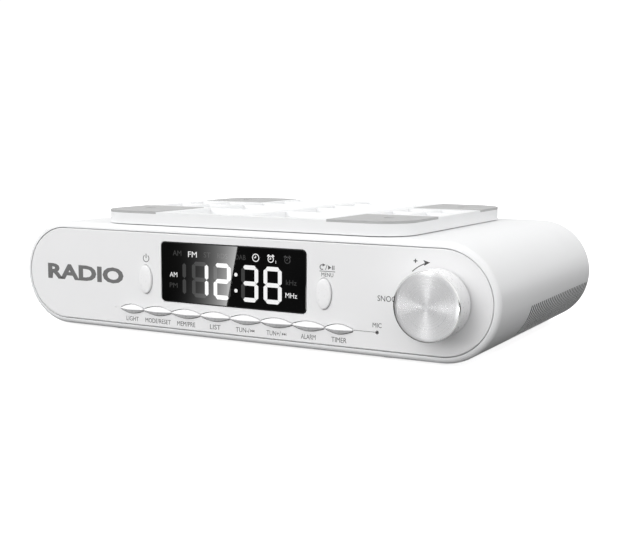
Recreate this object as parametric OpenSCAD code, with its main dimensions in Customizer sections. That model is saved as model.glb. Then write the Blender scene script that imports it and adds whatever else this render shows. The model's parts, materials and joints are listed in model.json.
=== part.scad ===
// Kitchen clock radio that stands on a table or hangs under a cupboard.
// X runs left to right, Y from the front to the rear and Z up.
// The origin is under the middle of the bounding box, on the soles of the feet.
// Places inside the modules are measured from the front panel's plane (y = 0),
// the middle of the width (x = 0) and the middle of the housing's height (z = 0).

/* [Housing] */
// Width of the housing over its round ends
body_w = 289; // [287:0.5:291]
// Height of the housing
body_h = 58.5; // [58.2:0.1:59]
// Depth from the front rim to the rear rim
body_d = 160; // [159:0.5:164]
// Thickness of the housing wall
wall = 2.4; // [2:0.1:2.5]
// Radius of the round along the front rim
rim_r = 3; // [2:0.1:3.2]
// Radius of the round along the rear rim
rear_r = 1.6; // [1:0.1:1.8]
// Height of the rubber feet
foot_h = 1.5; // [1:0.1:3]

/* [Front panel] */
// Width of the housing rim seen around the panel, gap included
rim_w = 3.5; // [3.4:0.1:3.8]
// Gap between the rim and the panel
panel_gap = 0.4; // [0.2:0.05:0.4]
// Thickness of the panel
panel_t = 2.6; // [2.4:0.1:2.8]
// Radius of the round along the panel's edge
panel_r = 0.6; // [0.5:0.1:1.5]
// Width of the display window
window_w = 90; // [86:0.5:90]
// Height of the display window
window_h = 32.6; // [31:0.2:32.6]

/* [Knob] */
// Diameter of the knob
knob_d = 33.4; // [30:0.2:35]
// How far the knob stands out of the panel
knob_proud = 14.6; // [14:0.1:16]
// Travel of the knob and the buttons when they are pressed
press = 0.8; // [0.5:0.1:0.8]

/* [Buttons] */
// Width of an oval button
oval_w = 8.5; // [7:0.5:9]
// Height of an oval button
oval_h = 15.6; // [12:0.2:16]
// Distance from one key of the row to the next
key_pitch = 18.77; // [18.4:0.01:18.9]
// Height of a key at its middle
key_h = 4.9; // [4:0.1:5]
// How far a key's crest stands out of the panel
key_proud = 3; // [2:0.1:3.2]

/* [Side grilles] */
// Number of slots in one grille
slot_count = 30; // [10:1:30]
// Distance from one slot to the next
slot_pitch = 3.6; // [3.2:0.1:3.6]
// Width of a slot
slot_w = 1.8; // [1:0.1:2]

/* [Mounting plate] */
// Width of the mounting plate
plate_w = 186.8; // [180:0.2:188]
// Length of the mounting plate, front to rear
plate_l = 154.9; // [150:0.1:156]
// Radius of the plate's corners
plate_r = 19; // [12:1:20]
// Distance between the screw holes across the plate
hole_x = 150; // [140:1:150]
// Distance between the screw holes from front to rear
hole_y = 104; // [100:1:110]
// Diameter of the screw holes
hole_d = 4.5; // [3.5:0.1:5]

/* [Hidden] */
$fn = 64;
eps = 0.01;

// Colours
white = [0.95, 0.95, 0.95];
pad_grey = [0.75, 0.75, 0.75];
black = [0.06, 0.06, 0.07];
steel = [0.72, 0.73, 0.75];
board_green = [0.1, 0.38, 0.22];

// Frame
rear_proud = 6;
panel_y = (knob_proud - body_d - rear_proud) / 2;
mid_z = foot_h + body_h / 2;

// Housing
end_x = (body_w - body_h) / 2;
in_r = body_h / 2 - wall;
in_w = body_w - 2 * wall;
in_h = body_h - 2 * wall;
floor_z = -body_h / 2;
cavity_y = 5;
ledge_w = 6.2;
rear_t = 2.4;
rear_y0 = body_d - rear_t - 0.8;
rear_y1 = rear_y0 + rear_t;

// Opening in the underside and the cover that closes it
under_w = 196;
under_y0 = 20;
under_y1 = 148;
under_r = 6;
cover_gap = 0.3;
cover_t = 2.2;
cover_top = floor_z + cover_t;
pillar_r = 3.5;
pillar_bore_l = 14;
pillars = [for (x = [-91, 91], y = [28, 132]) [x, y]];
feet_at = [for (x = [-84, 84], y = [14.2, 141]) [x, y]];
foot_r = 5.5;

// Rear screws and sockets
boss_r = 4;
boss_inset = 3;
bosses = [for (x = [-95, 95], z = [-1, 1]) [x, z * (in_h / 2 - boss_inset)]];
boss_len = 8.5;
case_screw_l = 6.5;
screw_r = 1.5;
screw_head_r = 2.9;
screw_head_t = 1.6;
sunk_t = 1.5;
cover_screw_l = 11;
rear_gap = 0.2;
vent_size = [2.4, 12];
vent_pitch = 8;
vent_rows_z = [-13, 3];
aux_x = 66;
aux_z = -4;
aux_bore_r = 1.8;
aux_depth = 13;
aux_nose_r = 3;
aux_nose_l = 0.7;
aux_case = [12, 11, 10];
gland_x = -112;
gland_z = -4;
gland_bore_r = 3.3;
gland_r = 4.5;
gland_collar_r = 6.5;
wire_x = 112;
wire_z = 6;
wire_bore_r = 1.1;
wire_gland_r = 2.5;
wire_collar_r = 3.8;
collar_t = 2;

// Front panel
panel_w = body_w - 2 * rim_w;
panel_h = body_h - 2 * rim_w;
window_at = [-2.1, 5.1];
window_r = 2.5;
window_t = 1.8;
window_y = 0.15;
ovals_x = [-57.5, 52.9];
oval_proud = 1.5;
clear = 0.3;
key_z = -17.1;
key_first = -59.2;
key_end_w = 16;
key_gap = 0.85;
mic_at = [82.25, -16.9];
mic_r = 0.9;
groove_w = 0.5;
groove_t = 0.35;
encoder_x = 113.75;
posts = [[-72, 8], [68, 8], [98, 17], [98, -18]];
post_r = 2.6;

// Row of keys: the joints between the keys, then each key's middle and width
key_joints = [for (i = [0:6]) key_first + i * key_pitch];
key_edges = [key_first - key_end_w, each key_joints, key_joints[6] + key_end_w];
function key_x(i) = (key_edges[i] + key_edges[i + 1]) / 2;
function key_w(i) = key_edges[i + 1] - key_edges[i] - key_gap;

// Control board and display behind the panel
lcd_size = [84, 2.2, 28];
lcd_y = 2.6;
frame_y = 2.2;
light_box_d = 7.4;
board_x0 = -80;
board_z0 = -23;
board_w = 206;
board_h = 43;
board_y = 12.8;
board_t = 1.6;
switch_y = 9.3;
plunger_y = 8.6;
stem_y = plunger_y - press - clear;

// Encoder and knob
shaft_r = 3;
run_gap = 0.05;
shaft_end = 8;
shaft_front = -10.6;
collar_r = 3.5;
knob_back = -1.2;
cap_t = 1.2;
knob_wall = 1.8;
hub_r = 5.5;

// Inner boards
main_z = -13.2;
main_at = [-4, 46];
main_size = [88, 86];
power_at = [-82, 66];
power_size = [70, 78];
// Chips and connectors on the boards: place, then width, length and height
chips = [[40, 44, 12, 12, 1.4], [62, 20, 10, 8, 2], [62, 40, 5, 6, 1.6], [16, 62, 8, 5, 1.6],
    [36, 2, 22, 5, 4.5], [80, 30, 5, 12, 6], [-14, 50, 5, 14, 6]];
// Capacitors: place, then radius and height
capacitors = [[14, 14, 3.2, 8], [22, 14, 3.2, 8], [70, 58, 4, 10], [60, 58, 4, 10],
    [48, 74, 2.5, 6], [-30, 82, 6.5, 16], [-50, 86, 5, 15], [-22, 34, 4, 12]];
standoff_in = 5;
standoff_r = 3;
board_screw_l = 7.5;

// Transformer
core = [30, 26, 22];
limb = 6;

// Battery box in the bottom cover
door_at = [-53, 45];
door_size = [54, 30];
door_t = 2;
door_gap = 0.35;
door_pin_r = 0.6;
door_pin_l = 1.3;
hinge_y = door_at.y + door_size.y / 2 - door_t / 2;
hinge_z = floor_z + door_t / 2;
box_wall = 1.4;
box_top = -13.6;
cells_y = [-6, 6];
cell_r = 5.25;
cell_l = 44.5;
cell_z = floor_z + door_t + 0.4 + cell_r;

// Light under the front
lens_at = [0, 34];
lens_size = [36, 12];

// Side grilles and speakers
slot_y0 = 50.4;
slot_top = -5.6;
slot_under = 12;
insert_r = in_r - 1.85;
insert_fit = 0.05;
insert_recess = 0.1;
slit_w = 0.9;
tilt = 45;
speaker_y = 90;
baffle_x = 9;
baffle_t = 1.8;
baffle_half = 22.2;
baffle_l = 68;
speaker_r = 22;
magnet_r = 14;
voice_r = 6;

// Ferrite rod
rod_at = [0, 140, 12];
rod_r = 4;
rod_l = 104;

// Mounting plate, 0.45 mm above the housing
plate_y = 80.25;
plate_z = body_h / 2 + 0.45;
plate_t = 7;
pad_t = 1.3;
pad_recess = 1;
pad_size = [41, 46];
pocket_t = 3.6;
counterbore_r = 4.6;
counterbore_t = 3.2;
pad_hole_r = 3;
hook_at = [for (x = [-60, 60], y = [45, 105]) [x, y]];
hook_r = 2;
hook_head_r = 4;
hook_travel = 12;

// ---- Shared shapes ----

// Moves a shape from the panel's frame to the object's frame
module at_panel() {
    translate([0, panel_y, mid_z]) children();
}

// Both ends of the object: the shape and its mirror image
module side(s) {
    if (s < 0) mirror([1, 0, 0]) children();
    else children();
}

// A flat shape drawn in X and Z, from depth y0 to depth y1
module slab(y0, y1) {
    translate([0, y1, 0]) rotate([90, 0, 0]) linear_extrude(y1 - y0) children();
}

// A round bar along Y at (x, z)
module bar_y(r, y0, y1, x = 0, z = 0) {
    translate([x, y0, z]) rotate([-90, 0, 0]) cylinder(r = r, h = y1 - y0);
}

// A round bar of length l along X, with its middle at (x, y, z)
module bar_x(r, l, x, y, z) {
    translate([x - l / 2, y, z]) rotate([0, 90, 0]) cylinder(r = r, h = l);
}

module stadium(w, h) {
    square([w - h, h], center = true);
    for (s = [-1, 1]) translate([s * (w - h) / 2, 0]) circle(d = h);
}

module rounded(w, h, r) {
    square([w - 2 * r, h], center = true);
    square([w, h - 2 * r], center = true);
    for (x = [-1, 1], y = [-1, 1])
        translate([x * (w / 2 - r), y * (h / 2 - r)]) circle(r);
}

module ellipse(w, h) {
    steps = 72;
    polygon([for (i = [0:steps - 1])
        [w / 2 * cos(360 * i / steps), h / 2 * sin(360 * i / steps)]]);
}

// Half section of a body with rounded front and rear edges: X is out, Y is depth
module rim_profile(half, depth, front_r, back_r) {
    square([half - front_r, depth / 2]);
    translate([0, depth / 2]) square([half - back_r, depth / 2]);
    translate([0, front_r]) square([half, depth - front_r - back_r]);
    if (front_r > 0) translate([half - front_r, front_r]) circle(front_r);
    if (back_r > 0) translate([half - back_r, depth - back_r]) circle(back_r);
}

// A stadium-shaped body with rounded front and rear edges
module capsule(w, h, depth, front_r, back_r) {
    reach = (w - h) / 2;
    for (s = [-1, 1])
        translate([s * reach, 0, 0]) rotate([-90, 0, 0]) rotate_extrude()
            rim_profile(h / 2, depth, front_r, back_r);
    rotate([0, -90, 0]) linear_extrude(2 * reach, center = true)
        for (m = [0, 1]) mirror([m, 0]) rim_profile(h / 2, depth, front_r, back_r);
}

// A wire swept through a list of points, with an eight-sided section
module wire(points, r) {
    sides = 8;
    last = len(points) - 1;
    function heading(i) = let (d = points[min(i + 1, last)] - points[max(i - 1, 0)]) d / norm(d);
    function across(d) = let (c = cross(d, [0.31, 0.2, 0.93])) c / norm(c);
    rings = [for (i = [0:last]) let (d = heading(i), u = across(d), v = cross(d, u))
        each [for (j = [0:sides - 1]) let (a = 360 * j / sides)
            points[i] + r * (cos(a) * u + sin(a) * v)]];
    walls = [for (i = [0:last - 1], j = [0:sides - 1]) let (k = (j + 1) % sides)
        each [[i * sides + j, (i + 1) * sides + k, i * sides + k],
            [i * sides + j, (i + 1) * sides + j, (i + 1) * sides + k]]];
    start = [for (j = [0:sides - 1]) j];
    end = [for (j = [sides - 1:-1:0]) last * sides + j];
    polyhedron(rings, concat(walls, [start, end]));
}

// ---- Housing and covers ----

module grille_slots() {
    for (i = [0:slot_count - 1])
        translate([end_x - slot_under, slot_y0 + i * slot_pitch - slot_w / 2, floor_z - 1])
            cube([body_h / 2 + slot_under + 1, slot_w, slot_top - floor_z + 1]);
}

module keyhole() {
    slot_half = hook_r + 0.4;
    cylinder(r = slot_half, h = wall + 2, center = true);
    translate([-slot_half, 0, -wall / 2 - 1]) cube([2 * slot_half, hook_travel, wall + 2]);
    translate([0, hook_travel, 0])
        cylinder(r = hook_head_r + 0.6, h = wall + 2, center = true);
}

module housing() color(white) at_panel() {
    difference() {
        capsule(body_w, body_h, body_d, rim_r, rear_r);
        slab(-1, panel_t) stadium(panel_w + 2 * panel_gap, panel_h + 2 * panel_gap);
        slab(panel_t - 1, cavity_y + 1) stadium(body_w - 2 * ledge_w, body_h - 2 * ledge_w);
        slab(cavity_y, body_d + 1) stadium(in_w, in_h);
        for (s = [-1, 1]) side(s) grille_slots();
        translate([0, (under_y0 + under_y1) / 2, floor_z - 1]) linear_extrude(wall + 2)
            rounded(under_w, under_y1 - under_y0, under_r);
        for (p = hook_at) translate([p.x, p.y, body_h / 2 - wall / 2]) keyhole();
    }
}

// Welded inside the housing: four pillars under the roof for the cover's screws, and four
// bosses for the rear panel's screws
module screw_pillars() color(white) at_panel() {
    for (p = bosses) difference() {
        intersection() {
            bar_y(boss_r, rear_y0 - boss_len, rear_y0, p.x, p.y);
            slab(cavity_y, body_d) stadium(in_w, in_h);
        }
        bar_y(screw_r + run_gap, rear_y0 - boss_len + 1, rear_y0 + 1, p.x, p.y);
    }
    for (p = pillars) translate([p.x, p.y, cover_top]) difference() {
        cylinder(r = pillar_r, h = in_r - cover_top);
        translate([0, 0, -1]) cylinder(r = screw_r + run_gap, h = pillar_bore_l + 1);
    }
}

// Outline of a key seen from the front: it narrows towards its two ends
key_steps = 12;
function key_swell(t) = 0.22 + 0.78 * (1 - pow(abs(t), 1.7));
module key_outline(w, h, grow) {
    ts = [for (i = [0:key_steps]) 2 * i / key_steps - 1];
    upper = [for (t = ts) [t * (w / 2 + grow), h / 2 * key_swell(t) + grow]];
    lower = [for (i = [key_steps:-1:0]) [upper[i].x, -upper[i].y]];
    polygon(concat(upper, lower));
}

module front_panel() color(white) at_panel() {
    difference() {
        capsule(panel_w, panel_h, panel_t, panel_r, 0);
        slab(-1, panel_t + 1) {
            translate(window_at)
                rounded(window_w + 2 * window_y, window_h + 2 * window_y, window_r + window_y);
            for (x = ovals_x) translate([x, 0]) ellipse(oval_w + 2 * clear, oval_h + 2 * clear);
            for (i = [0:7]) translate([key_x(i), key_z])
                key_outline(key_w(i), key_h, clear);
        }
        bar_y(collar_r + 0.4, -1, panel_t + 1, encoder_x, 0);
        bar_y(mic_r, -1, panel_t + 1, mic_at.x, mic_at.y);
        for (x = [[key_edges[0] - 4, key_edges[0] - 1], [key_edges[8] + 0.5, mic_at.x - 1.2]])
            translate([x[0], -1, key_z - groove_w / 2 + 0.2])
                cube([x[1] - x[0], 1 + groove_t, groove_w]);
    }
    for (p = posts) difference() {
        bar_y(post_r, panel_t - eps, board_y, p.x, p.y);
        bar_y(1.1, board_y - 7, board_y + 1, p.x, p.y);
    }
}

module vent_rows() {
    for (x = [-5 * vent_pitch:vent_pitch:5 * vent_pitch], z = vent_rows_z)
        translate([x, z]) rounded(vent_size.x, vent_size.y, 1.1);
}

module rear_panel() color(white) at_panel() {
    difference() {
        slab(rear_y0, rear_y1) stadium(in_w - 2 * rear_gap, in_h - 2 * rear_gap);
        slab(rear_y0 - 1, rear_y1 + 1) vent_rows();
        for (p = bosses) bar_y(screw_r + 0.2, rear_y0 - 1, rear_y1 + 1, p.x, p.y);
        bar_y(aux_nose_r + 0.2, rear_y0 - 1, rear_y1 + 1, aux_x, aux_z);
        bar_y(gland_r + 0.1, rear_y0 - 1, rear_y1 + 1, gland_x, gland_z);
        bar_y(wire_gland_r + 0.1, rear_y0 - 1, rear_y1 + 1, wire_x, wire_z);
    }
}

module standoffs(at, size) {
    for (x = [standoff_in, size.x - standoff_in], y = [standoff_in, size.y - standoff_in])
        translate([at.x + x, at.y + y, cover_top - eps]) difference() {
            cylinder(r = standoff_r, h = main_z - cover_top + eps);
            translate([0, 0, 4]) cylinder(r = 1.2, h = 20);
        }
}

module battery_box() {
    w = door_size.x + 2 * door_gap;
    l = door_size.y + 2 * door_gap;
    translate([door_at.x, door_at.y, cover_top - eps]) difference() {
        linear_extrude(box_top - cover_top)
            square([w + 2 * box_wall, l + 2 * box_wall], center = true);
        translate([0, 0, -1]) linear_extrude(box_top - cover_top - box_wall + 1)
            square([w, l], center = true);
    }
}

module bottom_cover() color(white) at_panel() {
    w = under_w - 2 * cover_gap;
    l = under_y1 - under_y0 - 2 * cover_gap;
    difference() {
        translate([0, (under_y0 + under_y1) / 2, floor_z]) linear_extrude(cover_t)
            rounded(w, l, under_r - cover_gap);
        translate([door_at.x, door_at.y, floor_z - 1]) linear_extrude(cover_t + 2)
            square([door_size.x + 2 * door_gap, door_size.y + 2 * door_gap], center = true);
        bar_x(door_pin_r + run_gap, door_size.x + 2 * door_pin_l + 0.3, door_at.x, hinge_y, hinge_z);
        translate([lens_at.x, lens_at.y, floor_z - 1]) linear_extrude(cover_t + 2)
            rounded(lens_size.x + 0.4, lens_size.y + 0.4, 2.2);
        for (p = pillars) translate([p.x, p.y, floor_z - eps]) {
            cylinder(r1 = screw_head_r + 0.1, r2 = screw_r + 0.1, h = sunk_t + 0.1);
            cylinder(r = screw_r + 0.2, h = cover_t + 1);
        }
        for (x = [-40:5:70], y = [110, 124]) translate([x, y, floor_z - 1])
            linear_extrude(cover_t + 2) rounded(1.8, 10, 0.8);
    }
    battery_box();
    standoffs(main_at, main_size);
    standoffs(power_at, power_size);
    for (x = [-1, 1]) translate([lens_at.x + x * 16, lens_at.y, cover_top - eps])
        translate([-1.5, -7, 0]) cube([3, 14, 5.2 + eps]);
}

// Door of the battery box: a flat lid with a finger notch at the front and, along its round
// rear edge, a pin at each end that turns in the cover
module battery_door() color(white) at_panel() {
    front_y = door_at.y - door_size.y / 2;
    difference() {
        translate([door_at.x - door_size.x / 2, front_y, floor_z])
            cube([door_size.x, hinge_y - front_y, door_t]);
        translate([door_at.x, front_y + 4, floor_z - 0.1]) linear_extrude(0.9) rounded(16, 3, 1.4);
    }
    bar_x(door_t / 2, door_size.x, door_at.x, hinge_y, hinge_z);
    bar_x(door_pin_r, door_size.x + 2 * door_pin_l, door_at.x, hinge_y, hinge_z);
}

module light_lens() color([0.95, 0.96, 0.98]) at_panel()
    translate([lens_at.x, lens_at.y, floor_z]) linear_extrude(cover_t - 0.2)
        rounded(lens_size.x, lens_size.y, 2);

module light_board() color(white) at_panel()
    translate([lens_at.x, lens_at.y, cover_top + 5.2]) {
        translate([-20, -8, 0]) cube([40, 16, 1.2]);
        for (x = [-11, 0, 11]) translate([x - 1.75, -1.4, -0.8]) cube([3.5, 2.8, 0.8 + eps]);
    }

module feet() color(pad_grey) at_panel()
    for (p = feet_at) translate([p.x, p.y, floor_z - foot_h])
        cylinder(r = foot_r, h = foot_h);

module backup_cells() color([0.2, 0.45, 0.3]) at_panel()
    for (y = cells_y) translate([door_at.x - cell_l / 2, door_at.y + y, cell_z])
        rotate([0, 90, 0]) {
            cylinder(r = cell_r, h = cell_l - 1);
            translate([0, 0, cell_l - 1 - eps]) cylinder(r = 1.8, h = 1 + eps);
        }

// Four sprung contact plates on the end walls of the battery box
module battery_contacts() color(steel) at_panel()
    for (s = [-1, 1], y = cells_y) {
        wall_x = door_size.x / 2 + door_gap;
        translate([door_at.x, door_at.y + y, cell_z])
            side(s) {
                translate([wall_x - 0.5, -4, -4]) cube([0.5, 8, 8]);
                translate([cell_l / 2 + 0.1, 0, 0]) rotate([0, 90, 0])
                    cylinder(r1 = 2, r2 = 3, h = wall_x - cell_l / 2 - 0.6);
            }
    }

// ---- Display and controls ----

module display_window() color(black) at_panel()
    slab(window_y, window_y + window_t) translate(window_at)
        rounded(window_w, window_h, window_r);

// A block of one width and height that stands at depth y, centred in X and Z
module block(size, y) {
    translate([-size.x / 2, y, -size.z / 2]) cube(size);
}

module lcd_glass() color([0.12, 0.13, 0.15]) at_panel()
    translate([window_at.x, 0, window_at.y]) block(lcd_size, lcd_y);

// White frame round the glass, hollow behind it
module lcd_backlight() color([0.9, 0.9, 0.88]) at_panel()
    translate([window_at.x, 0, window_at.y]) difference() {
        block([lcd_size.x + 3, board_y - frame_y, lcd_size.z + 2.6], frame_y);
        block([lcd_size.x + 0.4, lcd_y + lcd_size.y - frame_y + 1, lcd_size.z + 0.4], frame_y - 1);
        block([lcd_size.x - 4, light_box_d, lcd_size.z - 4], lcd_y + 1.4);
    }

module control_board() color(board_green) at_panel() difference() {
    translate([board_x0, board_y, board_z0]) cube([board_w, board_t, board_h]);
    for (p = posts) bar_y(1.3, board_y - 1, board_y + board_t + 1, p.x, p.y);
}

module tact_switches() color([0.15, 0.15, 0.16]) at_panel() {
    places = concat([for (x = ovals_x) [x, 0]], [for (i = [0:7]) [key_x(i), key_z]]);
    for (p = places) {
        translate([p.x - 3, switch_y, p.y - 3]) cube([6, board_y - switch_y, 6]);
        bar_y(1.7, plunger_y, switch_y + eps, p.x, p.y);
    }
}

module encoder_body() color(steel) at_panel() difference() {
    union() {
        translate([encoder_x - 6.2, 6.6, -6.6]) cube([12.4, board_y - 6.6, 13.2]);
        bar_y(collar_r, -0.6, 7, encoder_x, 0);
    }
    bar_y(shaft_r + run_gap, -1, 7.5, encoder_x, 0);
    bar_y(4.1, 7.2, 11.6, encoder_x, 0);
}

// Slides with the shaft when the knob is pressed, but doesn't turn
module encoder_plunger() color(black) at_panel()
    bar_y(2.4, shaft_end + run_gap, 10.4, encoder_x, 0);

module encoder_shaft() color(steel) at_panel() {
    bar_y(shaft_r, shaft_front, shaft_end, encoder_x, 0);
    bar_y(3.6, 7.5, shaft_end, encoder_x, 0);
}

module knob_body() color(white) at_panel() difference() {
    union() {
        difference() {
            bar_y(knob_d / 2, cap_t - knob_proud, knob_back, encoder_x, 0);
            bar_y(knob_d / 2 - knob_wall, cap_t + 2 - knob_proud, 0, encoder_x, 0);
        }
        bar_y(hub_r, cap_t + 1 - knob_proud, knob_back - press, encoder_x, 0);
    }
    bar_y(shaft_r, shaft_front, 0, encoder_x, 0);
}

module knob_cap() color([0.8, 0.8, 0.82]) at_panel()
    translate([encoder_x, -knob_proud, 0]) rotate([-90, 0, 0]) {
        cylinder(r1 = knob_d / 2 - 0.6, r2 = knob_d / 2, h = 0.6);
        translate([0, 0, 0.6 - eps]) cylinder(r = knob_d / 2, h = cap_t - 0.6 + eps);
    }

module oval_button(x) color(white) at_panel() translate([x, 0, 0]) {
    slab(-oval_proud, 0) ellipse(oval_w - 0.8, oval_h - 0.8);
    slab(-oval_proud + 0.5, 3.4) ellipse(oval_w, oval_h);
    translate([-2, 3.4 - eps, -2]) cube([4, stem_y - 3.4, 4]);
}
module power_button() oval_button(ovals_x[0]);
module select_button() oval_button(ovals_x[1]);

// A key is a bar with two slopes that meet in a crest, highest at the middle
module key_cap(w) {
    root_y = 3;
    ring = 5;
    points = [for (i = [0:key_steps]) let (t = 2 * i / key_steps - 1, s = key_swell(t))
        each [[t * w / 2, root_y, -key_h / 2 * s], [t * w / 2, 0, -key_h / 2 * s],
            [t * w / 2, -key_proud * s, 0], [t * w / 2, 0, key_h / 2 * s],
            [t * w / 2, root_y, key_h / 2 * s]]];
    walls = [for (i = [0:key_steps - 1], j = [0:ring - 1]) let (k = (j + 1) % ring)
        each [[i * ring + j, i * ring + k, (i + 1) * ring + k],
            [i * ring + j, (i + 1) * ring + k, (i + 1) * ring + j]]];
    first = [for (j = [ring - 1:-1:0]) j];
    last = [for (j = [0:ring - 1]) key_steps * ring + j];
    polyhedron(points, concat(walls, [first, last]));
}
module key(i) color(white) at_panel() translate([key_x(i), 0, key_z]) {
    key_cap(key_w(i));
    translate([-2.5, 2, -1.8]) cube([5, stem_y - 2, 3.6]);
}
module key_light() key(0);
module key_mode() key(1);
module key_preset() key(2);
module key_list() key(3);
module key_tune_down() key(4);
module key_tune_up() key(5);
module key_alarm() key(6);
module key_timer() key(7);

module mic_capsule() color(steel) at_panel() bar_y(3, panel_t + 0.1, 5.3, mic_at.x, mic_at.y);

// ---- Electronics ----

module board(at, size) {
    difference() {
        translate([at.x, at.y, main_z]) cube([size.x, size.y, board_t]);
        for (x = [standoff_in, size.x - standoff_in], y = [standoff_in, size.y - standoff_in])
            translate([at.x + x, at.y + y, main_z - 1]) cylinder(r = 1.4, h = board_t + 2);
    }
}
module main_board() color(board_green) at_panel() board(main_at, main_size);
module power_board() color([0.55, 0.45, 0.2]) at_panel() board(power_at, power_size);

// Places on the two boards are given from the main board's corner
module on_board(x, y) {
    translate([main_at.x + x, main_at.y + y, main_z + board_t]) children();
}
module board_chips() color(black) at_panel() {
    for (c = chips) on_board(c[0], c[1]) cube([c[2], c[3], c[4]]);
}
module board_capacitors() color([0.2, 0.22, 0.35]) at_panel()
    for (c = capacitors) on_board(c[0], c[1]) cylinder(r = c[2], h = c[3]);
module tuner_can() color(steel) at_panel() on_board(8, 34) difference() {
    cube([24, 20, 6]);
    for (y = [6, 14]) translate([12, y, 5.4]) cylinder(r = 2, h = 2);
}
module transformer() color([0.3, 0.25, 0.2]) at_panel() on_board(-66, 36) {
    for (x = [0, core.x - limb]) translate([x, 0, 0]) cube([limb, core.y, core.z]);
    translate([limb - eps, 4, 2]) cube([core.x - 2 * limb + 2 * eps, core.y - 8, core.z - 4]);
}

// Flat cable from the control board to the main board
module ribbon_cable() color([0.8, 0.8, 0.8]) at_panel() {
    thick = 0.6;
    x0 = main_at.x + 38;
    top_z = main_z + board_t + 3;
    translate([x0, board_y + board_t, top_z - thick]) cube([18, 18, thick]);
    translate([x0, board_y + board_t + 18 - thick, top_z - thick]) cube([18, thick, 2]);
    translate([x0, board_y + board_t + 18 - thick, top_z + 1.4 - thick])
        cube([18, main_at.y + 2 - board_y - board_t - 18 + thick, thick]);
}
module mains_terminal() color([0.2, 0.3, 0.22]) at_panel() on_board(-66, 82) difference() {
    cube([10, 12, 9]);
    for (y = [3.2, 8.8]) {
        translate([5, y, 7]) cylinder(r = 1.9, h = 3);
        translate([-1, y, 3.4]) rotate([0, 90, 0]) cylinder(r = 1.5, h = 6);
    }
}

// One pair of leads to each speaker
module speaker_leads() color([0.7, 0.1, 0.1]) at_panel() {
    plug_z = main_z + board_t + 6;
    wire([[main_at.x + 83, main_at.y + 36, plug_z], [main_at.x + 83, main_at.y + 36, -4],
        [main_at.x + 86, main_at.y + 35, -1], [94, 78, 0], [101, 77, -1]], 0.8);
    wire([[main_at.x - 11.5, main_at.y + 57, plug_z], [main_at.x - 11.5, main_at.y + 57, 13],
        [main_at.x - 16, main_at.y + 57, 17], [-90, 103, 17], [-97, 101, 12]], 0.8);
}
module ferrite_rod() color([0.2, 0.2, 0.2]) at_panel()
    translate([rod_at.x - rod_l / 2, rod_at.y, rod_at.z]) rotate([0, 90, 0])
        cylinder(r = rod_r, h = rod_l);
module antenna_coil() color([0.75, 0.4, 0.2]) at_panel()
    translate([-20, rod_at.y, rod_at.z]) rotate([0, 90, 0]) difference() {
        cylinder(r = rod_r + 1.2, h = 32);
        translate([0, 0, -1]) cylinder(r = rod_r + run_gap, h = 34);
    }
module ferrite_clips() color(white) at_panel()
    for (x = [-40, 34]) translate([x, 0, rod_at.z]) difference() {
        translate([0, rod_at.y - 6, -6]) cube([6, rear_y0 - rod_at.y + 6, 12]);
        translate([-1, rod_at.y, 0]) rotate([0, 90, 0]) cylinder(r = rod_r + run_gap, h = 8);
    }

// ---- Speakers: drawn along local X, tilted out and down at each end ----

module at_speaker(s) {
    at_panel() side(s) translate([end_x, speaker_y, 0]) rotate([0, tilt, 0]) children();
}
module ring_x(r_out, r_in, x0, x1) {
    translate([x0, 0, 0]) rotate([0, 90, 0]) difference() {
        cylinder(r = r_out, h = x1 - x0);
        translate([0, 0, -1]) cylinder(r = r_in, h = x1 - x0 + 2);
    }
}
module speaker_basket(s) color([0.25, 0.25, 0.27]) at_speaker(s) difference() {
    union() {
        translate([7.6, 0, 0]) rotate([0, 90, 0]) cylinder(r = speaker_r, h = 1.4);
        translate([-4, 0, 0]) rotate([0, 90, 0]) cylinder(r1 = 13, r2 = speaker_r - 2, h = 11.7);
    }
    translate([-3, 0, 0]) rotate([0, 90, 0]) cylinder(r1 = 11.8, r2 = speaker_r - 3, h = 12.1);
    translate([-5, 0, 0]) rotate([0, 90, 0]) cylinder(r = voice_r + 0.4, h = 3);
    for (a = [0:60:300]) rotate([a, 0, 0]) translate([-2, -3.5, 12]) cube([8, 7, 12]);
}
module speaker_cone(s) color(black) at_speaker(s) difference() {
    union() {
        translate([-1, 0, 0]) rotate([0, 90, 0]) cylinder(r1 = voice_r, r2 = 17.6, h = 9.4);
        translate([-4.6, 0, 0]) rotate([0, 90, 0]) cylinder(r = voice_r, h = 4);
    }
    translate([0.6, 0, 0]) rotate([0, 90, 0]) cylinder(r1 = 6, r2 = 17.2, h = 9);
}
module speaker_magnet(s) color(steel) at_speaker(s) {
    ring_x(magnet_r, voice_r + 0.6, -12, -4);
    ring_x(magnet_r - 1.5, 0, -13.5, -12 + eps);
}
module speaker_baffle(s) color(white) at_speaker(s) {
    difference() {
        translate([baffle_x, -baffle_l / 2, -baffle_half])
            cube([baffle_t, baffle_l, 2 * baffle_half]);
        translate([baffle_x - 1, 0, 0]) rotate([0, 90, 0])
            cylinder(r = speaker_r - 3, h = baffle_t + 2);
    }
    for (y = [-1, 1]) intersection() {
        translate([baffle_x, y * (baffle_l / 2 - 0.8) - 0.8, -baffle_half])
            cube([insert_r, 1.6, 2 * baffle_half]);
        rotate([90, 0, 0]) cylinder(r = insert_r - 0.1, h = baffle_l + 4, center = true);
    }
}

// Section of the grille insert in X and Z, between two radii: round the end and under the flat
module insert_section(inner, r, end_gap) {
    inner_x = slot_under - end_gap;
    difference() {
        intersection() {
            union() {
                circle(r);
                translate([-inner_x, -r]) square([inner_x, r]);
            }
            translate([-inner_x, -r - 1]) square([inner_x + r + 1, r + 1 + slot_top - end_gap]);
        }
        circle(inner);
        translate([-inner_x - 1, -inner]) square([inner_x + 1, inner]);
    }
}

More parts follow.
